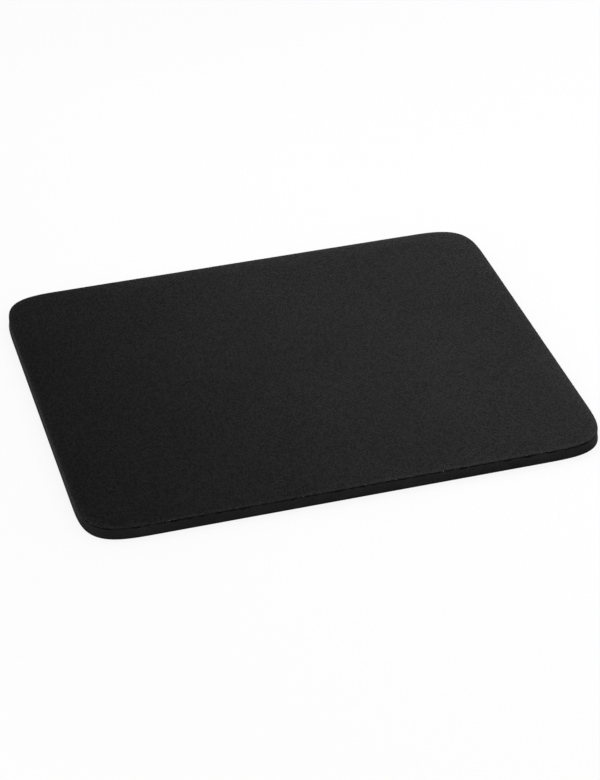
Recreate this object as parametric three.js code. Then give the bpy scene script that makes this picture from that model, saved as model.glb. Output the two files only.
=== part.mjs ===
// A plain cloth-topped foam mouse pad, lying flat with the side nearest its user towards -Y.
// It is a bonded stack of five sheets, all cut out by one stroke of a die.
// Millimetres, +Z up, origin at the middle of the underside.

import * as THREE from "three";

// The outline that the die cuts
const PAD_WIDTH = 230; // left to right
const PAD_DEPTH = 190; // front to back
const CORNER_REACH = 34; // from the sharp corner, along each side, to where the outline starts to turn
const CORNER_POWER = 4; // 2 is a plain arc, 4 a softer corner with long shoulders
const CORNER_STEPS = 20;

// The sheets' thicknesses, from the desk up
const GRIP_THICKNESS = 0.5;
const GRIP_FILM_THICKNESS = 0.1;
const FOAM_THICKNESS = 4.45;
const CLOTH_FILM_THICKNESS = 0.1;
const CLOTH_THICKNESS = 0.65;

// How round the die's squeeze leaves each cut edge, and how far the films stop inside those edges
const GRIP_EDGE_RADIUS = 0.12;
const FOAM_EDGE_RADIUS = 0.25;
const CLOTH_EDGE_RADIUS = 0.3;
const EDGE_STEPS = 3;
const ROUND_SHARE_LIMIT = 0.45; // an edge's radius stays under this share of its sheet's thickness
const FILM_SETBACK = 0.1;

const rubber = new THREE.MeshStandardMaterial({ color: 0x19191a, roughness: 0.75, metalness: 0 });
const foam = new THREE.MeshStandardMaterial({ color: 0x1d1d1e, roughness: 0.85, metalness: 0 });
const hotMelt = new THREE.MeshStandardMaterial({ color: 0x141415, roughness: 0.45, metalness: 0 });
const knittedCloth = new THREE.MeshStandardMaterial({ color: 0x272728, roughness: 0.95, metalness: 0 });

// One corner of the outline, drawn in by `inset`, from its end on the right side to its end at the back
function softCorner(inset) {
  const points = [];
  for (let step = 0; step <= CORNER_STEPS; step += 1) {
    const angle = (Math.PI / 2) * (step / CORNER_STEPS);
    const turn = new THREE.Vector2(Math.cos(angle), Math.sin(angle));
    const outward = new THREE.Vector2(
      turn.x ** (2 - 2 / CORNER_POWER),
      turn.y ** (2 - 2 / CORNER_POWER),
    ).normalize();
    const point = new THREE.Vector2(
      PAD_WIDTH / 2 - CORNER_REACH * (1 - turn.x ** (2 / CORNER_POWER)),
      PAD_DEPTH / 2 - CORNER_REACH * (1 - turn.y ** (2 / CORNER_POWER)),
    );
    points.push(point.addScaledVector(outward, -inset));
  }
  return points;
}

// The whole outline: the corner, mirrored to the other three, with straight sides between
function padShape(inset) {
  const corner = softCorner(inset);
  const cornerBackwards = [...corner].reverse();
  return new THREE.Shape([
    ...corner,
    ...cornerBackwards.map(({ x, y }) => new THREE.Vector2(-x, y)),
    ...corner.map(({ x, y }) => new THREE.Vector2(-x, -y)),
    ...cornerBackwards.map(({ x, y }) => new THREE.Vector2(x, -y)),
  ]);
}

// A cut edge's radius, as far as the sheet's thickness leaves room for it
function edgeRadius(radius, thickness) {
  return Math.min(radius, ROUND_SHARE_LIMIT * thickness);
}

const mousePad = new THREE.Group();
let stackTop = 0;

// Lays a sheet on the stack, with its upper and lower cut edges rounded alike
function laySheet(name, thickness, radius, inset, material) {
  const straightEdge = thickness - 2 * radius;
  const geometry = new THREE.ExtrudeGeometry(padShape(inset), {
    depth: straightEdge,
    bevelEnabled: radius > 0,
    bevelThickness: radius,
    bevelSize: radius,
    bevelOffset: -radius,
    bevelSegments: EDGE_STEPS,
  });
  geometry.translate(0, 0, -straightEdge / 2);
  const sheet = new THREE.Mesh(geometry, material);
  sheet.name = name;
  sheet.position.z = stackTop + thickness / 2;
  stackTop += thickness;
  mousePad.add(sheet);
}

const gripRadius = edgeRadius(GRIP_EDGE_RADIUS, GRIP_THICKNESS);
const foamRadius = edgeRadius(FOAM_EDGE_RADIUS, FOAM_THICKNESS);
const clothRadius = edgeRadius(CLOTH_EDGE_RADIUS, CLOTH_THICKNESS);
const gripFilmInset = Math.max(gripRadius, foamRadius) + FILM_SETBACK;
const clothFilmInset = Math.max(clothRadius, foamRadius) + FILM_SETBACK;

// The textured rubber sheet that keeps the pad from sliding on the desk
laySheet("grip_backing", GRIP_THICKNESS, gripRadius, 0, rubber);

// The hot-melt film that bonds the rubber to the foam
laySheet("lower_bond_film", GRIP_FILM_THICKNESS, 0, gripFilmInset, hotMelt);

// The closed-cell foam sheet that makes most of the pad's thickness
laySheet("foam_core", FOAM_THICKNESS, foamRadius, 0, foam);

// The hot-melt film that bonds the cloth to the foam, seen as the dark line under the cloth
laySheet("upper_bond_film", CLOTH_FILM_THICKNESS, 0, clothFilmInset, hotMelt);

// The fine knitted polyester face that the mouse runs on
laySheet("cloth_top", CLOTH_THICKNESS, clothRadius, 0, knittedCloth);

export default mousePad;
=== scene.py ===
# A plain black mouse pad: knitted cloth on foam, with a rubber grip sheet beneath.
# The sheets are laid from the desk up, as the pad is bonded, and then lit for a studio picture.

import math

import bmesh
import bpy
import numpy as np
from mathutils import Matrix, Vector, noise


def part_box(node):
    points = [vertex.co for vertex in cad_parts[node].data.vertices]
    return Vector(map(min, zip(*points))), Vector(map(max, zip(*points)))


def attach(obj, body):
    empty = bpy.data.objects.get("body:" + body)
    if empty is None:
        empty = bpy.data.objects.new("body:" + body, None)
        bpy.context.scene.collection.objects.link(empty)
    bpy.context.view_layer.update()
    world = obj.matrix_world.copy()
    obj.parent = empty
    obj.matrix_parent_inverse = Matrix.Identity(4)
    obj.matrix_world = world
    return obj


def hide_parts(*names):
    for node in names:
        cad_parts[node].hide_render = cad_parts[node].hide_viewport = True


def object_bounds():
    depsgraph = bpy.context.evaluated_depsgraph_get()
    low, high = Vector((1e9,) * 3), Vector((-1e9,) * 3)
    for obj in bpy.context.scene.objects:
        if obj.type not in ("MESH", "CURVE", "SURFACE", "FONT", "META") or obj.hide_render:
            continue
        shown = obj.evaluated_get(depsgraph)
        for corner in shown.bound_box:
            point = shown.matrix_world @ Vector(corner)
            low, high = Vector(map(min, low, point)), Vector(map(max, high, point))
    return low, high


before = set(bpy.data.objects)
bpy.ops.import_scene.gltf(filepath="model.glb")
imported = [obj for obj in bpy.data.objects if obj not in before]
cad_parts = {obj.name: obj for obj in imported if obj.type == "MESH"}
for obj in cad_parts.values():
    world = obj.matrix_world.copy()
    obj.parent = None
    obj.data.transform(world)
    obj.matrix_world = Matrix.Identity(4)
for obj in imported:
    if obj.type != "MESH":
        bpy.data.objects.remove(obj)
cad_low, cad_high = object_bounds()
bpy.context.scene.view_settings.view_transform = "Standard"


# Grip sheet
# The underside is a thin sheet of black rubber, rolled hot against a square-celled roller so that it
# grips the desk. It is bonded to the foam and cut out with it, which leaves its edge a little rounded.

MM = 0.001
CORNER_REACH = 34 * MM  # from the sharp corner to where the die's outline starts to turn
CORNER_POWER = 4  # 2 would be an arc, and 4 is a softer corner with long shoulders
CORNER_SAMPLES = 400  # points on a corner, before they are spread evenly
OUTLINE_STEP = 0.55 * MM  # between the points round the outline
CUT_LEAN = 0.4 * MM  # how far the die's cut leans in on its way up from the desk

pad_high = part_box("foam_core")[1]  # the die cuts every sheet to the foam's outline


def die_line():
    """Points at even steps round the outline that the die cuts, and the outward direction at each."""
    angle = np.linspace(0, math.pi / 2, CORNER_SAMPLES)
    across = pad_high.x - CORNER_REACH * (1 - np.cos(angle).clip(0) ** (2 / CORNER_POWER))
    away = pad_high.y - CORNER_REACH * (1 - np.sin(angle).clip(0) ** (2 / CORNER_POWER))
    corner = np.column_stack([across, away])
    turned = corner[::-1]
    loop = np.vstack([corner, turned * (-1, 1), corner * (-1, -1), turned * (1, -1), corner[:1]])
    walked = np.append(0, np.cumsum(np.linalg.norm(np.diff(loop, axis=0), axis=1)))
    count = round(walked[-1] / OUTLINE_STEP)
    stops = np.arange(count) * walked[-1] / count
    points = np.column_stack([np.interp(stops, walked, loop[:, axis]) for axis in (0, 1)])
    along = np.roll(points, -1, axis=0) - np.roll(points, 1, axis=0)
    outward = np.column_stack([along[:, 1], -along[:, 0]])
    return points, outward / np.linalg.norm(outward, axis=1, keepdims=True)


cut_points, cut_outward = die_line()


def ring(inset, height):
    """A ring of points, drawn in from the leaning cut, at a height. Both may vary round the pad."""
    height = np.broadcast_to(height, len(cut_points))
    inward = inset + CUT_LEAN * height / cad_high.z
    return np.column_stack([cut_points - cut_outward * inward[:, None], height])


def band_faces(ring_count):
    """The four-sided faces between each ring and the one above it."""
    count = len(cut_points)
    here = np.arange(count)
    after = np.roll(here, -1)
    band = np.column_stack([here, after, after + count, here + count])
    return np.vstack([band + k * count for k in range(ring_count - 1)]).tolist()


def cap_faces(first, centre, facing_up):
    """Triangles from a ring, whose points start at an index, to the point at its centre."""
    here = np.arange(len(cut_points)) + first
    after = np.roll(here, -1)
    pair = (here, after) if facing_up else (after, here)
    return np.column_stack([*pair, np.full(len(here), centre)]).tolist()


def add_piece(name, points, faces, material):
    """Makes a smooth piece of the pad from points and faces, and fixes it to the pad's one body."""
    mesh = bpy.data.meshes.new(name)
    mesh.from_pydata(np.asarray(points).tolist(), [], faces, shade_flat=False)
    mesh.materials.append(material)
    piece = bpy.data.objects.new(name, mesh)
    bpy.context.scene.collection.objects.link(piece)
    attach(piece, "root")
    return piece


def linear(hex_colour):
    """An sRGB colour such as "#27282a" as linear red, green and blue, with full alpha."""
    channels = [int(hex_colour[k : k + 2], 16) / 255 for k in (1, 3, 5)]
    return [c / 12.92 if c <= 0.04045 else ((c + 0.055) / 1.055) ** 2.4 for c in channels] + [1]


def add_node(tree, kind, inputs=None, **settings):
    """Adds a node, with its settings, and fills or links each named or numbered input."""
    made = tree.nodes.new(kind)
    for name, value in settings.items():
        setattr(made, name, value)
    for socket, value in (inputs or {}).items():
        if isinstance(value, bpy.types.NodeSocket):
            tree.links.new(value, made.inputs[socket])
        else:
            made.inputs[socket].default_value = value
    return made


def new_material(name):
    """An empty material and its node tree."""
    material = bpy.data.materials.new(name)
    material.use_nodes = True
    material.node_tree.nodes.clear()
    return material, material.node_tree


def place_in_mm(tree):
    """Where a point lies on the pad, in millimetres."""
    place = add_node(tree, "ShaderNodeTexCoord").outputs["Object"]
    in_mm = add_node(tree, "ShaderNodeVectorMath", {0: place, "Scale": 1 / MM}, operation="SCALE")
    return in_mm.outputs[0]


# A Mix node's colour sockets, by number, because its sockets for other values have the same names
MIX_SHARE = 0
MIX_FROM = 6
MIX_TO = 7
MIX_COLOUR = 2

GRIP_BLACK = "#242424"
GRIP_BLOOM = "#303030"
GRIP_ROUGHNESS = {"To Min": 0.62, "To Max": 0.82}  # from clean rubber to bloom
BLOOM_PATCH_MM = 14  # wax comes to the surface of rubber in patches about this wide
ROLLER_GRAIN_MM = 0.4  # the roller's own grain, drawn about twice as coarse as it is
ROLLER_GRAIN_DEPTH = 0.02 * MM


def rolled_rubber():
    """Vulcanised rubber from a roller: a dull black with a faint waxy bloom and a fine even grain."""
    material, tree = new_material("rolled_rubber")
    place = place_in_mm(tree)
    bloom = add_node(tree, "ShaderNodeTexNoise", {"Vector": place, "Scale": 1 / BLOOM_PATCH_MM, "Detail": 4})
    grain = add_node(tree, "ShaderNodeTexNoise", {"Vector": place, "Scale": 1 / ROLLER_GRAIN_MM, "Detail": 2})
    colour = add_node(
        tree,
        "ShaderNodeMix",
        {MIX_SHARE: bloom.outputs["Fac"], MIX_FROM: linear(GRIP_BLACK), MIX_TO: linear(GRIP_BLOOM)},
        data_type="RGBA",
    )
    dullness = add_node(tree, "ShaderNodeMapRange", {"Value": bloom.outputs["Fac"], **GRIP_ROUGHNESS})
    relief = add_node(
        tree,
        "ShaderNodeBump",
        {"Height": grain.outputs["Fac"], "Strength": 1, "Distance": ROLLER_GRAIN_DEPTH},
    )
    surface = add_node(
        tree,
        "ShaderNodeBsdfPrincipled",
        {
            "Base Color": colour.outputs[MIX_COLOUR],
            "Roughness": dullness.outputs[0],
            "Specular IOR Level": 0.1,
            "IOR": 1.52,
            "Normal": relief.outputs[0],
        },
    )
    add_node(tree, "ShaderNodeOutputMaterial", {"Surface": surface.outputs[0]})
    return material


GRIP_EDGE_RADIUS = 0.12 * MM
ROUND_MIDDLE = 0.3  # how far in an edge's round lies halfway along it, as a share of its radius
CELL_PITCH = 3 * MM
CELL_RIB = 0.8 * MM  # the flat rib between two cells, which touches the desk
CELL_SLOPE = 0.2 * MM  # how far a cell's sides lean in
CELL_DEPTH = 0.18 * MM
PLAIN_MARGIN = 1.5 * MM  # a plain border round the cells
SQUARE = ((-1, -1), (1, -1), (1, 1), (-1, 1))  # a square's corners, anticlockwise from above


def inside_outline(x, y, inset):
    """Whether a point lies inside the die's outline, drawn in by a distance."""
    past_x = abs(x) - (pad_high.x - CORNER_REACH)
    past_y = abs(y) - (pad_high.y - CORNER_REACH)
    if past_x <= 0 or past_y <= 0:
        return abs(x) <= pad_high.x - inset and abs(y) <= pad_high.y - inset
    return (past_x**CORNER_POWER + past_y**CORNER_POWER) ** (1 / CORNER_POWER) <= CORNER_REACH - inset


def grip_cells():
    """The points and faces of the underside's cells, each a shallow square pan with leaning sides."""
    low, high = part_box("grip_backing")
    columns = math.floor(high.x / CELL_PITCH)
    rows = math.floor(high.y / CELL_PITCH)
    mouth = (CELL_PITCH - CELL_RIB) / 2
    points, faces, post_index = [], [], {}
    for column in range(-columns, columns):
        for row in range(-rows, rows):
            posts = [(column + (1 + sx) // 2, row + (1 + sy) // 2) for sx, sy in SQUARE]
            if not all(inside_outline(i * CELL_PITCH, j * CELL_PITCH, PLAIN_MARGIN) for i, j in posts):
                continue
            for post in posts:
                if post not in post_index:
                    post_index[post] = len(points)
                    points.append((post[0] * CELL_PITCH, post[1] * CELL_PITCH, low.z))
            middle_x = (column + 0.5) * CELL_PITCH
            middle_y = (row + 0.5) * CELL_PITCH
            loops = [[post_index[post] for post in posts]]
            for half, height in ((mouth, 0), (mouth - CELL_SLOPE, CELL_DEPTH)):
                start = len(points)
                points += [(middle_x + sx * half, middle_y + sy * half, low.z + height) for sx, sy in SQUARE]
                loops.append(list(range(start, len(points))))
            for outer, inner in zip(loops, loops[1:]):
                for k in range(len(SQUARE)):
                    after = (k + 1) % len(SQUARE)
                    faces.append([outer[after], outer[k], inner[k], inner[after]])
            faces.append(loops[-1][::-1])
    return points, faces


def make_grip_sheet():
    """The sheet's edge and hidden upper face, joined to the cells by a plain border."""
    low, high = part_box("grip_backing")
    radius = GRIP_EDGE_RADIUS
    middle = ROUND_MIDDLE * radius
    rings = [
        ring(radius, low.z),
        ring(middle, low.z + middle),
        ring(0, low.z + radius),
        ring(0, high.z - radius),
        ring(middle, high.z - middle),
        ring(radius, high.z),
    ]
    edge_points = np.vstack([*rings, [(0, 0, high.z)]])
    faces = band_faces(len(rings))
    faces += cap_faces((len(rings) - 1) * len(cut_points), len(edge_points) - 1, facing_up=True)
    edge_count = len(faces)
    cell_points, cells = grip_cells()
    faces += [[k + len(edge_points) for k in face] for face in cells]
    piece = add_piece("grip_backing_rubber", np.vstack([edge_points, cell_points]), faces, rolled_rubber())
    shell = bmesh.new()
    shell.from_mesh(piece.data)
    open_edges = [edge for edge in shell.edges if edge.is_boundary]
    bmesh.ops.triangle_fill(shell, edges=open_edges, use_beauty=True, normal=(0, 0, -1))
    shell.faces.ensure_lookup_table()
    for face in shell.faces[edge_count:]:
        face.smooth = False
    bmesh.ops.recalc_face_normals(shell, faces=shell.faces)
    shell.to_mesh(piece.data)
    shell.free()
    return piece


grip_sheet = make_grip_sheet()
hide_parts("grip_backing")


# Bond films
# Two thin films of hot-melt glue join the sheets: one between rubber and foam, one between foam and cloth.
# The press melts them, so each ends in a wavering line just inside the cut.

FILM_BLACK = "#0c0c0d"
FILM_SMOKE = "#161617"
FILM_ROUGHNESS = {"To Min": 0.4, "To Max": 0.6}
FILM_RIPPLE_MM = 1.2  # ripples left as the glue set
FILM_RIPPLE_DEPTH = 0.02 * MM
FILM_WAVER = 0.09 * MM  # how far the melted line strays
FILM_WAVER_LENGTH = 2.4 * MM
FILM_BULGE = 0.3  # how far the middle of its edge swells out, as a share of its thickness


def hot_melt():
    """Set hot-melt glue: smooth and nearly black, with a dull gloss where the gap lets light in."""
    material, tree = new_material("hot_melt")
    place = place_in_mm(tree)
    ripple = add_node(tree, "ShaderNodeTexNoise", {"Vector": place, "Scale": 1 / FILM_RIPPLE_MM, "Detail": 2})
    colour = add_node(
        tree,
        "ShaderNodeMix",
        {MIX_SHARE: ripple.outputs["Fac"], MIX_FROM: linear(FILM_BLACK), MIX_TO: linear(FILM_SMOKE)},
        data_type="RGBA",
    )
    gloss = add_node(tree, "ShaderNodeMapRange", {"Value": ripple.outputs["Fac"], **FILM_ROUGHNESS})
    relief = add_node(
        tree,
        "ShaderNodeBump",
        {"Height": ripple.outputs["Fac"], "Strength": 1, "Distance": FILM_RIPPLE_DEPTH},
    )
    surface = add_node(
        tree,
        "ShaderNodeBsdfPrincipled",
        {
            "Base Color": colour.outputs[MIX_COLOUR],
            "Roughness": gloss.outputs[0],
            "Specular IOR Level": 0.1,
            "IOR": 1.49,
            "Normal": relief.outputs[0],
        },
    )
    add_node(tree, "ShaderNodeOutputMaterial", {"Surface": surface.outputs[0]})
    return material


def wander(wavelength, seed):
    """A smooth random value, about -1 to 1, at each point round the outline."""
    return np.array([noise.noise(Vector((x / wavelength, y / wavelength, seed))) for x, y in cut_points])


def closed_sheet(rings, bottom, top):
    """The points and faces of a sheet: rings from its underside up, closed at its bottom and its top."""
    points = np.vstack([*rings, [(0, 0, bottom), (0, 0, top)]])
    faces = band_faces(len(rings))
    faces += cap_faces(0, len(points) - 2, facing_up=False)
    faces += cap_faces((len(rings) - 1) * len(cut_points), len(points) - 1, facing_up=True)
    return points, faces


def make_film(name, node, material, seed):
    """A film as wide as its solid, with its edge wandering in and out."""
    low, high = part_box(node)
    inset = pad_high.x - high.x + FILM_WAVER * wander(FILM_WAVER_LENGTH, seed)
    bulge = FILM_BULGE * (high.z - low.z)
    rings = [
        ring(inset, low.z),
        ring(inset - bulge, (low.z + high.z) / 2),
        ring(inset, high.z),
    ]
    film = add_piece(name, *closed_sheet(rings, low.z, high.z), material)
    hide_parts(node)
    return film


glue = hot_melt()
make_film("lower_bond_glue", "lower_bond_film", glue, seed=3)
upper_film = make_film("upper_bond_glue", "upper_bond_film", glue, seed=8)


# Foam core
# A sheet of black closed-cell foam makes most of the pad's thickness. The die squeezes it as it cuts, so
# the wall leans in and springs back a little hollow, with its edges rounded and the cut cells left open.
# Painted shade darkens the top of its wall here and there, along the groove under the cloth's edge, as a
# broken dark line.

# The foam's colour is mixed from the blade's patches of tone and painted shade in the open cells' pits
FOAM_BLACK = "#3c3c3c"
FOAM_PIT_SHADE = "#232323"
FOAM_ROUGHNESS = {"To Min": 0.6, "To Max": 0.75}
FOAM_CELL_MM = 0.45  # drawn about twice as wide as the cells are
FOAM_CELL_DEPTH = 0.06 * MM
FOAM_CELL_PIT = {"From Min": 0.15, "From Max": 0.55}  # from a cell's pit to its wall, in cell widths
FOAM_TONE_MM = 9  # patches that the blade left smoother or rougher
LIP_SHADE_BLACK = "#151515"  # the painted shade along the groove under the cloth's edge, on the foam and on the knit's cut face
LIP_SHADE_DEPTH_MM = 0.8  # how far down the foam the painted shade reaches, where it reaches furthest
LIP_SHADE_FADE_MM = LIP_SHADE_DEPTH_MM / 3  # how softly it ends
LIP_SHADE_PATCH_MM = 5  # the painted shade comes and goes in stretches about this long
LIP_SHADE_PATCH = {"From Min": 0.38, "From Max": 0.68}  # the noise's values where there is none of the painted shade and where there is all of it


def lip_shade_share(tree, place):
    """How much of the painted shade along the groove under the cloth's edge lies at each place, from none to
    all.
    """
    patch = add_node(tree, "ShaderNodeTexNoise", {"Vector": place, "Scale": 1 / LIP_SHADE_PATCH_MM, "Detail": 3})
    return add_node(tree, "ShaderNodeMapRange", {"Value": patch.outputs["Fac"], **LIP_SHADE_PATCH}).outputs[0]


def cut_foam():
    """Closed-cell foam, cut by a die: matte black, pitted by the cells that the blade opened, with painted
    shade in the pits.
    """
    material, tree = new_material("die_cut_foam")
    place = place_in_mm(tree)
    cells = add_node(tree, "ShaderNodeTexVoronoi", {"Vector": place, "Scale": 1 / FOAM_CELL_MM})
    tone = add_node(tree, "ShaderNodeTexNoise", {"Vector": place, "Scale": 1 / FOAM_TONE_MM, "Detail": 5})
    wall_share = add_node(
        tree,
        "ShaderNodeMapRange",
        {"Value": cells.outputs["Distance"], **FOAM_CELL_PIT},
        interpolation_type="SMOOTHSTEP",
    )
    # Painted shade in the pits, times the blade's patches of tone
    lit_share = add_node(
        tree,
        "ShaderNodeMath",
        {0: wall_share.outputs[0], 1: tone.outputs["Fac"]},
        operation="MULTIPLY",
    )
    bare = add_node(
        tree,
        "ShaderNodeMix",
        {MIX_SHARE: lit_share.outputs[0], MIX_FROM: linear(FOAM_PIT_SHADE), MIX_TO: linear(FOAM_BLACK)},
        data_type="RGBA",
    )
    # Painted shade along the groove under the cloth's edge, in patches down the top of the wall
    height = add_node(tree, "ShaderNodeSeparateXYZ", {0: place})
    lip_shade_reach = add_node(
        tree,
        "ShaderNodeMath",
        {0: lip_shade_share(tree, place), 1: LIP_SHADE_DEPTH_MM, 2: height.outputs["Z"]},
        operation="MULTIPLY_ADD",
    )
    foam_top = pad_high.z / MM
    lip_shade = add_node(
        tree,
        "ShaderNodeMapRange",
        {"Value": lip_shade_reach.outputs[0], "From Min": foam_top, "From Max": foam_top + LIP_SHADE_FADE_MM},
    )
    colour = add_node(
        tree,
        "ShaderNodeMix",
        {MIX_SHARE: lip_shade.outputs[0], MIX_FROM: bare.outputs[MIX_COLOUR], MIX_TO: linear(LIP_SHADE_BLACK)},
        data_type="RGBA",
    )
    dullness = add_node(tree, "ShaderNodeMapRange", {"Value": tone.outputs["Fac"], **FOAM_ROUGHNESS})
    relief = add_node(
        tree,
        "ShaderNodeBump",
        {"Height": wall_share.outputs[0], "Strength": 1, "Distance": FOAM_CELL_DEPTH},
    )
    surface = add_node(
        tree,
        "ShaderNodeBsdfPrincipled",
        {
            "Base Color": colour.outputs[MIX_COLOUR],
            "Roughness": dullness.outputs[0],
            "Specular IOR Level": 0.018,
            "IOR": 1.5,
            "Normal": relief.outputs[0],
        },
    )
    add_node(tree, "ShaderNodeOutputMaterial", {"Surface": surface.outputs[0]})
    return material


FOAM_EDGE_RADIUS = 0.15 * MM
FOAM_EDGE_RINGS = 4
WALL_HOLLOW = 0.1 * MM  # how far the middle of the wall lies inside the cut
WALL_LUMP = 0.035 * MM  # how uneven the cut leaves the wall
WALL_LUMP_LENGTH = 0.9 * MM
WALL_RINGS = 13


def lump(points, length, seed):
    """A smooth random value, about -1 to 1, at each point in space."""
    return np.array([noise.noise(Vector(p) / length + Vector((0, 0, seed))) for p in points])


def make_foam():
    """The foam's wall, from its lower rounded edge to its upper one, with the caps that the glue hides."""
    low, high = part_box("foam_core")
    radius = FOAM_EDGE_RADIUS
    middle = (low.z + high.z) / 2
    reach = (high.z - low.z) / 2 - radius
    turn = np.linspace(0, math.pi / 2, FOAM_EDGE_RINGS)
    section = [(radius * (1 - math.sin(a)), low.z + radius * (1 - math.cos(a))) for a in turn[:-1]]
    section += [(WALL_HOLLOW * (1 - s * s), middle + reach * s) for s in np.linspace(-1, 1, WALL_RINGS)]
    section += [(radius * (1 - math.cos(a)), high.z - radius * (1 - math.sin(a))) for a in turn[1:]]
    rings = []
    for inset, height in section:
        uneven = WALL_LUMP * lump(ring(inset, height), WALL_LUMP_LENGTH, seed=21)
        rings.append(ring(inset + uneven, height))
    return add_piece("foam_core_sheet", *closed_sheet(rings, low.z, high.z), cut_foam())


foam = make_foam()
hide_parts("foam_core")


# Cloth top
# The face that the mouse runs on is a fine knitted polyester, dyed black and brushed flat. It is bonded
# all over, and the die drags its cut edge down, so the edge rolls over and shows the ends of the loops.
# Painted light pales it along every cut, and most along the back and right ones, where the light falls.

# The cloth's colour is mixed between these two: painted shade in the gaps between the loops and painted light
# on their crowns, with a random tone for each loop
CLOTH_SHADE = "#060606"
CLOTH_LIGHT = "#3b3b3b"
CLOTH_SHEEN = "#dcdcdc"
CLOTH_ROUGHNESS = {"To Min": 0.95, "To Max": 0.8}  # the loops that catch most light are the smoothest
LOOP_ACROSS_MM = 0.8  # between loops across the pad, drawn about twice as coarse as they are
LOOP_AWAY_MM = 1.1  # between loops from front to back, with every other row halfway between
LOOP_DEPTH = 0.04 * MM
LOOP_CROWN = {"From Min": -1.1, "From Max": 1.1}  # of two waves' sum, from between the loops to their crowns
FIBRE_MM = 0.2  # small bundles of the yarn's fibres
FIBRE_DEPTH = 0.01 * MM
KNIT_WOBBLE_MM = 0.3  # how far the yarns stray from an even grid
KNIT_WOBBLE_LENGTH_MM = 3
CLOTH_TONE_MM = 45  # broad patches where the nap lies differently
LOOP_LIGHT = {"To Min": 0.29, "To Max": 0.86}  # how much of the light colour shows, from the painted shade of a gap to the painted light of a crown
TONE_LIGHT = {"To Min": 0.8, "To Max": 1.2}  # how far the broad patches change that
FIBRE_LIGHT = {"To Min": 0.9, "To Max": 1.1}  # and how far the fibres do


def knitted_polyester():
    """Bird's-eye knit polyester: black, with a fine staggered grain: random in tone from loop to loop, with
    painted shade between the loops, painted light on their crowns and painted light along the edges.
    """
    material, tree = new_material("knitted_polyester")
    place = place_in_mm(tree)
    stray = add_node(
        tree,
        "ShaderNodeTexNoise",
        {"Vector": place, "Scale": 1 / KNIT_WOBBLE_LENGTH_MM, "Detail": 3},
    )
    shift = add_node(
        tree,
        "ShaderNodeVectorMath",
        {0: stray.outputs["Color"], 1: [KNIT_WOBBLE_MM * 2] * 3, 2: place},
        operation="MULTIPLY_ADD",
    )
    axes = add_node(tree, "ShaderNodeSeparateXYZ", {0: shift.outputs[0]})
    across = add_node(tree, "ShaderNodeMath", {0: axes.outputs["X"], 1: LOOP_ACROSS_MM}, operation="DIVIDE")
    away = add_node(tree, "ShaderNodeMath", {0: axes.outputs["Y"], 1: LOOP_AWAY_MM}, operation="DIVIDE")
    waves, loop_numbers = [], []
    for slant in ("ADD", "SUBTRACT"):
        along = add_node(tree, "ShaderNodeMath", {0: across.outputs[0], 1: away.outputs[0]}, operation=slant)
        turn = add_node(tree, "ShaderNodeMath", {0: along.outputs[0], 1: 2 * math.pi}, operation="MULTIPLY")
        wave = add_node(tree, "ShaderNodeMath", {0: turn.outputs[0]}, operation="COSINE")
        number = add_node(tree, "ShaderNodeMath", {0: along.outputs[0]}, operation="ROUND")
        waves.append(wave.outputs[0])
        loop_numbers.append(number.outputs[0])
    both = add_node(tree, "ShaderNodeMath", {0: waves[0], 1: waves[1]}, operation="ADD")
    loop = add_node(
        tree,
        "ShaderNodeMapRange",
        {"Value": both.outputs[0], **LOOP_CROWN},
        interpolation_type="SMOOTHSTEP",
    )
    which = add_node(tree, "ShaderNodeCombineXYZ", {0: loop_numbers[0], 1: loop_numbers[1]})
    twist = add_node(tree, "ShaderNodeTexWhiteNoise", {"Vector": which.outputs[0]}, noise_dimensions="2D")
    standing = add_node(
        tree,
        "ShaderNodeMath",
        {0: loop.outputs[0], 1: twist.outputs["Value"]},
        operation="MULTIPLY",
    )
    tone = add_node(tree, "ShaderNodeTexNoise", {"Vector": place, "Scale": 1 / CLOTH_TONE_MM, "Detail": 3})
    fibre = add_node(tree, "ShaderNodeTexNoise", {"Vector": place, "Scale": 1 / FIBRE_MM, "Detail": 2})
    # The painted light along the cuts is where the share of the light colour starts
    light_share = add_node(tree, "ShaderNodeAttribute", attribute_name="painted_edge_light").outputs["Fac"]
    for source, span in ((standing, LOOP_LIGHT), (tone, TONE_LIGHT), (fibre, FIBRE_LIGHT)):
        change = add_node(tree, "ShaderNodeMapRange", {"Value": source.outputs[0], **span}).outputs[0]
        changed = add_node(tree, "ShaderNodeMath", {0: light_share, 1: change}, operation="MULTIPLY")
        light_share = changed.outputs[0]
    colour = add_node(
        tree,
        "ShaderNodeMix",
        {MIX_SHARE: light_share, MIX_FROM: linear(CLOTH_SHADE), MIX_TO: linear(CLOTH_LIGHT)},
        data_type="RGBA",
    )
    dullness = add_node(tree, "ShaderNodeMapRange", {"Value": twist.outputs["Value"], **CLOTH_ROUGHNESS})
    height = add_node(
        tree,
        "ShaderNodeMath",
        {0: fibre.outputs["Fac"], 1: FIBRE_DEPTH / LOOP_DEPTH, 2: loop.outputs[0]},
        operation="MULTIPLY_ADD",
    )
    relief = add_node(
        tree,
        "ShaderNodeBump",
        {"Height": height.outputs[0], "Strength": 1, "Distance": LOOP_DEPTH},
    )
    surface = add_node(
        tree,
        "ShaderNodeBsdfPrincipled",
        {
            "Base Color": colour.outputs[MIX_COLOUR],
            "Roughness": dullness.outputs[0],
            "Specular IOR Level": 0.03,
            "IOR": 1.5,
            "Sheen Weight": 0.02,
            "Sheen Roughness": 0.45,
            "Sheen Tint": linear(CLOTH_SHEEN),
            "Normal": relief.outputs[0],
        },
    )
    add_node(tree, "ShaderNodeOutputMaterial", {"Surface": surface.outputs[0]})
    return material


CUT_BLACK = "#202020"
CUT_WORN = "#2e2e2e"
CUT_ROUGHNESS = {"To Min": 0.6, "To Max": 0.75}
CUT_LOOP_MM = 0.4  # the cut ends of the loops, side by side
CUT_LOOP_DEPTH = 0.03 * MM


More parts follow.
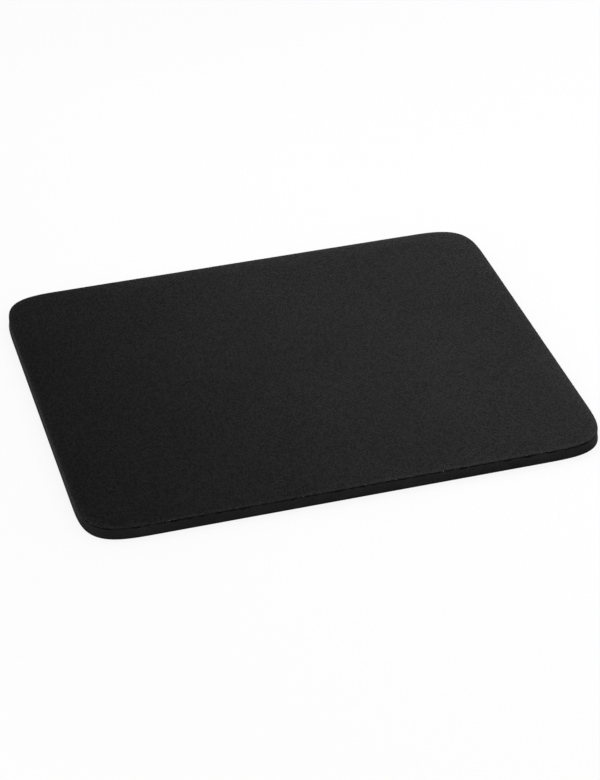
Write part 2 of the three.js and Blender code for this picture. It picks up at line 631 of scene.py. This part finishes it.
def cut_knit():
    """The knit's cut face: loop ends that the die has pressed and glazed, darkened in patches by painted
    shade along the groove under the cloth's edge.
    """
    material, tree = new_material("die_cut_knit")
    place = place_in_mm(tree)
    ends = add_node(tree, "ShaderNodeTexVoronoi", {"Vector": place, "Scale": 1 / CUT_LOOP_MM})
    bare = add_node(
        tree,
        "ShaderNodeMix",
        {MIX_SHARE: ends.outputs["Distance"], MIX_FROM: linear(CUT_WORN), MIX_TO: linear(CUT_BLACK)},
        data_type="RGBA",
    )
    lip_shade = lip_shade_share(tree, place)
    colour = add_node(
        tree,
        "ShaderNodeMix",
        {MIX_SHARE: lip_shade, MIX_FROM: bare.outputs[MIX_COLOUR], MIX_TO: linear(LIP_SHADE_BLACK)},
        data_type="RGBA",
    )
    dullness = add_node(tree, "ShaderNodeMapRange", {"Value": ends.outputs["Distance"], **CUT_ROUGHNESS})
    relief = add_node(
        tree,
        "ShaderNodeBump",
        {"Height": ends.outputs["Distance"], "Strength": 1, "Distance": -CUT_LOOP_DEPTH},
    )
    surface = add_node(
        tree,
        "ShaderNodeBsdfPrincipled",
        {
            "Base Color": colour.outputs[MIX_COLOUR],
            "Roughness": dullness.outputs[0],
            "Specular IOR Level": 0.06,
            "IOR": 1.5,
            "Normal": relief.outputs[0],
        },
    )
    add_node(tree, "ShaderNodeOutputMaterial", {"Surface": surface.outputs[0]})
    return material


# The edge's section, as pairs of how far inside the cut and how far up the cloth: its cut face, then its roll
CUT_SECTION_MM = ((0.3, 0), (0.1, 0.03), (0.02, 0.1), (0, 0.2), (0.01, 0.3))
ROLL_SECTION_MM = (
    (0.04, 0.4),
    (0.09, 0.48),
    (0.17, 0.55),
    (0.28, 0.605),
    (0.42, 0.635),
    (0.6, 0.648),
    (0.85, 0.65),
)

# The rings of the flat face, which lie further apart towards its middle
FLAT_INSETS_MM = (1.3, 1.8, 2.4, 3.1, 4, 5.5, 7.5, 11, 16, 22, 29, 37, 46, 56, 67)

EDGE_SINK = 0.2 * MM  # how much lower than the face the die's squeeze leaves the edge
EDGE_SINK_REACH_MM = 4  # how far in from the cut that is felt
EDGE_STRAY = 0.06 * MM  # how far the cut edge strays in and out, in short waves and in long ones
EDGE_STRAY_LENGTH = 1.6 * MM
EDGE_SLOW_STRAY_LENGTH = 9 * MM
CLOTH_SWELL = 0.05 * MM  # how far the bonded cloth lies up and down
CLOTH_SWELL_LENGTH = 34 * MM
CLOTH_SWELL_EASE_MM = 10  # the edge is held down, so the swells grow over this distance
PAINTED_LIGHT_SIDE = (0.5, 0.87)  # painted light lies along the cuts that face this way, the back and the right, where the light falls
PAINTED_SIDE_LIGHT_REACH_MM = 10  # how far in from those cuts the painted light reaches
PAINTED_SIDE_LIGHT_GAIN = 0.5  # how much paler the painted light makes the cloth at those cuts
PAINTED_RIM_LIGHT_REACH_MM = 3  # painted highlight along every cut, standing in for the sheen that the rolled edge catches, reaches this far in
PAINTED_RIM_LIGHT_GAIN = 0.8  # how much paler the painted highlight makes the cloth at the cut


def edge_sink(inset_mm):
    """How far the cloth's face lies below its full height, this far in from the cut."""
    return EDGE_SINK * max(0, 1 - inset_mm / EDGE_SINK_REACH_MM) ** 2


def painted_edge_light(inset_mm):
    """How much painted light pales the cloth against its flat face, at each point round it, this far in from
    the cut.
    """
    side_light = PAINTED_SIDE_LIGHT_GAIN * (cut_outward @ PAINTED_LIGHT_SIDE).clip(0) * max(0, 1 - inset_mm / PAINTED_SIDE_LIGHT_REACH_MM)
    rim_light = PAINTED_RIM_LIGHT_GAIN * max(0, 1 - inset_mm / PAINTED_RIM_LIGHT_REACH_MM) ** 2
    return 1 + side_light + rim_light


def make_cloth():
    """The cloth from its hidden face, round its cut and rolled edge, and in over its flat face."""
    low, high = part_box("cloth_top")
    stray = EDGE_STRAY * (wander(EDGE_STRAY_LENGTH, seed=5) + wander(EDGE_SLOW_STRAY_LENGTH, seed=6))
    edge_section = CUT_SECTION_MM + ROLL_SECTION_MM
    rings = []
    for inset, up in edge_section:
        squeezed = 1 - edge_sink(inset) / (high.z - low.z)
        rings.append(ring(inset * MM + stray, low.z + up * MM * squeezed))
    half = np.array([high.x, high.y])
    for inset in FLAT_INSETS_MM:
        shrunk = cut_points * (1 - (CUT_LEAN + inset * MM) / half)
        level = np.column_stack([shrunk, np.zeros(len(shrunk))])
        swell = CLOTH_SWELL * lump(level, CLOTH_SWELL_LENGTH, seed=4)
        ease = min(1, inset / CLOTH_SWELL_EASE_MM)
        rings.append(np.column_stack([shrunk, high.z - edge_sink(inset) + ease * swell]))
    piece = add_piece("cloth_top_knit", *closed_sheet(rings, low.z, high.z), knitted_polyester())
    insets = [inset for inset, _ in edge_section] + list(FLAT_INSETS_MM)
    # Painted light along the cuts, kept on the points for the cloth's material
    edge_light = [painted_edge_light(inset) for inset in insets]
    edge_light.append(np.ones(2))  # the two points that close the sheet
    attribute = piece.data.attributes.new("painted_edge_light", "FLOAT", "POINT")
    attribute.data.foreach_set("value", np.concatenate(edge_light))
    piece.data.materials.append(cut_knit())
    for polygon in piece.data.polygons[: len(CUT_SECTION_MM) * len(cut_points)]:
        polygon.material_index = 1
    return piece


cloth = make_cloth()
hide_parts("cloth_top")


# Cut yarn ends
# Where the die cuts the knit, the ends of its polyester yarns spring out of the cloth's edge as short fuzz.
# Each is a bundle of clear-skinned filaments, so it catches more light than the cloth, and a few carry a
# painted glint.

YARN_BLACK = "#2c2c2c"
YARN_GLINT = "#b4b4b4"


def cut_polyester_yarn():
    """Ends of cut polyester yarn: most are as black as the cloth, and a few frayed ones are painted pale as a
    painted glint.
    """
    material, tree = new_material("cut_polyester_yarn")
    painted_glint = add_node(tree, "ShaderNodeAttribute", attribute_name="painted_glint")
    colour = add_node(
        tree,
        "ShaderNodeMix",
        {MIX_SHARE: painted_glint.outputs["Fac"], MIX_FROM: linear(YARN_BLACK), MIX_TO: linear(YARN_GLINT)},
        data_type="RGBA",
    )
    surface = add_node(
        tree,
        "ShaderNodeBsdfPrincipled",
        {
            "Base Color": colour.outputs[MIX_COLOUR],
            "Roughness": 0.55,
            "Specular IOR Level": 0.2,
            "IOR": 1.57,
        },
    )
    add_node(tree, "ShaderNodeOutputMaterial", {"Surface": surface.outputs[0]})
    return material


UP = np.array([0, 0, 1])
YARN_END_SEED = 29
YARN_END_SPACING = 1.3 * MM
YARN_END_SHORTEST = 0.06 * MM
YARN_END_LONGEST = 0.4 * MM
YARN_END_RARENESS = 3  # the power that makes long ends and ones with a painted glint rare
YARN_END_HEIGHTS = (0.2, 0.8)  # where it comes out, as a share of the cloth's thickness
YARN_END_SPLAY = 0.5  # how far it turns aside, for each length that it stands out
YARN_END_LIFT = 0.15  # how far it points up, for each length that it stands out
YARN_END_LIFT_SPREAD = 0.35
YARN_END_DROOP = 0.35  # how far it bends down, as a share of its length
YARN_END_ROOT = 0.08 * MM  # how deep in the cloth it starts
YARN_END_RADIUS = 0.05 * MM  # a bundle of filaments, not one
YARN_END_TAPER = 0.6  # how much thinner its tip is than its root
YARN_END_SIDES = 4
YARN_END_RINGS = 4


def make_yarn_ends():
    """A short tapered bundle at each step round the edge, at its own height, lean and length."""
    low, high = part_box("cloth_top")
    chance = np.random.default_rng(YARN_END_SEED)
    step = round(YARN_END_SPACING / OUTLINE_STEP, 1)
    points, faces, painted_glint = [], [], []
    for here in np.arange(0, len(cut_points), step).astype(int):
        # How frayed the end is, which thickens it, and how much painted glint it carries
        fray_and_glint = chance.uniform() ** YARN_END_RARENESS
        outward = np.append(cut_outward[here], 0)
        sideways = np.array([-outward[1], outward[0], 0])
        height = low.z + (high.z - low.z) * chance.uniform(*YARN_END_HEIGHTS)
        root = np.append(cut_points[here], height) - outward * (CUT_LEAN + YARN_END_ROOT)
        spare = YARN_END_LONGEST - YARN_END_SHORTEST
        length = YARN_END_SHORTEST + spare * chance.uniform() ** YARN_END_RARENESS
        splay = sideways * chance.normal(0, YARN_END_SPLAY)
        lift = UP * chance.normal(YARN_END_LIFT, YARN_END_LIFT_SPREAD)
        heading = outward + splay + lift
        heading /= np.linalg.norm(heading)
        first = len(points)
        for share in np.linspace(0, 1, YARN_END_RINGS):
            droop = UP * YARN_END_DROOP * length * share**2
            centre = root + heading * (YARN_END_ROOT + length) * share - droop
            radius = YARN_END_RADIUS * (1 - YARN_END_TAPER * share) * (1 + fray_and_glint)
            for angle in np.arange(YARN_END_SIDES) * 2 * math.pi / YARN_END_SIDES:
                points.append(centre + (sideways * math.cos(angle) + UP * math.sin(angle)) * radius)
        rings = np.arange(first, len(points)).reshape(YARN_END_RINGS, YARN_END_SIDES)
        after = np.roll(rings, -1, axis=1)
        sides = np.stack([rings[:-1], after[:-1], after[1:], rings[1:]], axis=-1)
        faces += sides.reshape(-1, 4).tolist()
        faces += [rings[0, ::-1].tolist(), rings[-1].tolist()]
        painted_glint += [fray_and_glint] * rings.size
    piece = add_piece("cloth_top_yarn_ends", points, faces, cut_polyester_yarn())
    piece.data.attributes.new("painted_glint", "FLOAT", "POINT").data.foreach_set("value", painted_glint)
    return piece


yarn_ends = make_yarn_ends()


# Studio
# A pale paper floor in a dim white room. A broad lamp hangs above and behind to the right, and two low white
# cards, at the front left and at the right, lift the walls. The camera stands to the front left.

FLOOR_PAPER = "#f4f4f4"
PLAIN_WHITE = "#ffffff"
FLOOR_HALF = 6.0  # half of the paper's width, in metres
FLOOR_DROP = 0.02 * MM  # how far under the pad the paper lies, so that their faces don't meet
FLOOR_LIFT = 0.97  # how much of the seen floor is plain white, and the rest takes the lamps' light
CONTACT_REACH = 30 * MM  # how far from the pad the painted contact shadow reaches on the white
CONTACT_WHITE = 0.86  # what the painted contact shadow lowers the white to, where the pad would hide all of the soft light


def seen_share(tree):
    """1 for what is seen straight, in a reflection or through glass, and 0 for what only lights the pad."""
    path = add_node(tree, "ShaderNodeLightPath")
    share = path.outputs["Is Camera Ray"]
    for kind in ("Is Glossy Ray", "Is Transmission Ray"):
        either = add_node(tree, "ShaderNodeMath", {0: share, 1: path.outputs[kind]}, operation="MAXIMUM")
        share = either.outputs[0]
    return share


def studio_paper():
    """White background paper: evenly white to the eye, with the pad's faint real shadow on its lamp-lit part
    and a painted contact shadow close to the pad.
    """
    material, tree = new_material("studio_paper")
    lift = add_node(tree, "ShaderNodeMath", {0: seen_share(tree), 1: FLOOR_LIFT}, operation="MULTIPLY")
    paper = add_node(tree, "ShaderNodeBsdfDiffuse", {"Color": linear(FLOOR_PAPER)})
    # A painted contact shadow: the glowing white is lowered where the pad hides the paper from the room
    open_share = add_node(tree, "ShaderNodeAmbientOcclusion", {"Distance": CONTACT_REACH})
    white = add_node(
        tree,
        "ShaderNodeMapRange",
        {"Value": open_share.outputs["AO"], "To Min": CONTACT_WHITE, "To Max": 1},
    )
    glow = add_node(
        tree,
        "ShaderNodeEmission",
        {"Color": linear(PLAIN_WHITE), "Strength": white.outputs[0]},
    )
    both = add_node(
        tree,
        "ShaderNodeMixShader",
        {0: lift.outputs[0], 1: paper.outputs[0], 2: glow.outputs[0]},
    )
    add_node(tree, "ShaderNodeOutputMaterial", {"Surface": both.outputs[0]})
    return material


floor_mesh = bpy.data.meshes.new("studio_floor")
floor_points = [(x * FLOOR_HALF, y * FLOOR_HALF, -FLOOR_DROP) for x, y in SQUARE]
floor_mesh.from_pydata(floor_points, [], [(0, 1, 2, 3)])
floor_mesh.materials.append(studio_paper())
floor = bpy.data.objects.new("studio_floor", floor_mesh)
bpy.context.scene.collection.objects.link(floor)

WORLD_LEVEL = 0.2  # how much light the white room gives, while it still looks white

world = bpy.data.worlds.new("studio_surround")
world.use_nodes = True
world_tree = world.node_tree
world_tree.nodes.clear()
surround = add_node(
    world_tree,
    "ShaderNodeMapRange",
    {"Value": seen_share(world_tree), "To Min": WORLD_LEVEL, "To Max": 1},
)
backdrop = add_node(
    world_tree,
    "ShaderNodeBackground",
    {"Color": linear(PLAIN_WHITE), "Strength": surround.outputs[0]},
)
add_node(world_tree, "ShaderNodeOutputWorld", {"Surface": backdrop.outputs[0]})
bpy.context.scene.world = world


def add_lamp(name, place, aim, width, height, watts, spread):
    """An oblong soft lamp, in metres, turned to face a point. Its light spreads by an angle in degrees."""
    lamp = bpy.data.lights.new(name, "AREA")
    lamp.shape = "RECTANGLE"
    lamp.size = width
    lamp.size_y = height
    lamp.energy = watts
    lamp.spread = math.radians(spread)
    stand = bpy.data.objects.new(name, lamp)
    stand.location = place
    stand.rotation_euler = (Vector(aim) - Vector(place)).to_track_quat("-Z", "Y").to_euler()
    stand.visible_camera = False
    bpy.context.scene.collection.objects.link(stand)


# The key lamp is a soft box with a grid, so its light fades towards the pad's near left
add_lamp(
    "key_lamp",
    place=(0.146, 0.419, 0.544),
    aim=(0.208, 0, 0),
    width=0.5,
    height=0.5,
    watts=0.79,
    spread=31.5,
)

# A low white card at the front left lifts the left end of the front wall
add_lamp(
    "fill_card",
    place=(-0.25, -0.26, 0.06),
    aim=(-0.09, -0.095, 0.003),
    width=0.25,
    height=0.1,
    watts=0.13,
    spread=180,
)

# Another at the right lights the wall where the front right corner turns away
add_lamp(
    "side_card",
    place=(0.4, -0.05, 0.07),
    aim=(0.11, -0.08, 0.003),
    width=0.2,
    height=0.1,
    watts=0.16,
    spread=180,
)

# The camera's place is given by the point that it looks at, and by its direction and distance from there
CAMERA_AIM = Vector((0.257, -10.684, 0)) * MM
CAMERA_AZIMUTH = math.radians(-15.768)
CAMERA_ELEVATION = math.radians(34.09)
CAMERA_ROLL = math.radians(-0.76)
CAMERA_DISTANCE = 1109.89 * MM
CAMERA_LENS_MM = 114.98
SENSOR_MM = 36

camera_back = Vector(
    (
        math.sin(CAMERA_AZIMUTH) * math.cos(CAMERA_ELEVATION),
        -math.cos(CAMERA_AZIMUTH) * math.cos(CAMERA_ELEVATION),
        math.sin(CAMERA_ELEVATION),
    )
)
level_right = Vector((math.cos(CAMERA_AZIMUTH), math.sin(CAMERA_AZIMUTH), 0))
level_up = camera_back.cross(level_right)
camera_right = level_right * math.cos(CAMERA_ROLL) + level_up * math.sin(CAMERA_ROLL)
camera_up = level_up * math.cos(CAMERA_ROLL) - level_right * math.sin(CAMERA_ROLL)
camera_turn = Matrix((camera_right, camera_up, camera_back)).transposed()
camera_data = bpy.data.cameras.new("picture_camera")
camera_data.lens = CAMERA_LENS_MM
camera_data.sensor_width = SENSOR_MM
camera = bpy.data.objects.new("picture_camera", camera_data)
camera.matrix_world = Matrix.Translation(CAMERA_AIM + camera_back * CAMERA_DISTANCE) @ camera_turn.to_4x4()
bpy.context.scene.collection.objects.link(camera)
bpy.context.scene.camera = camera
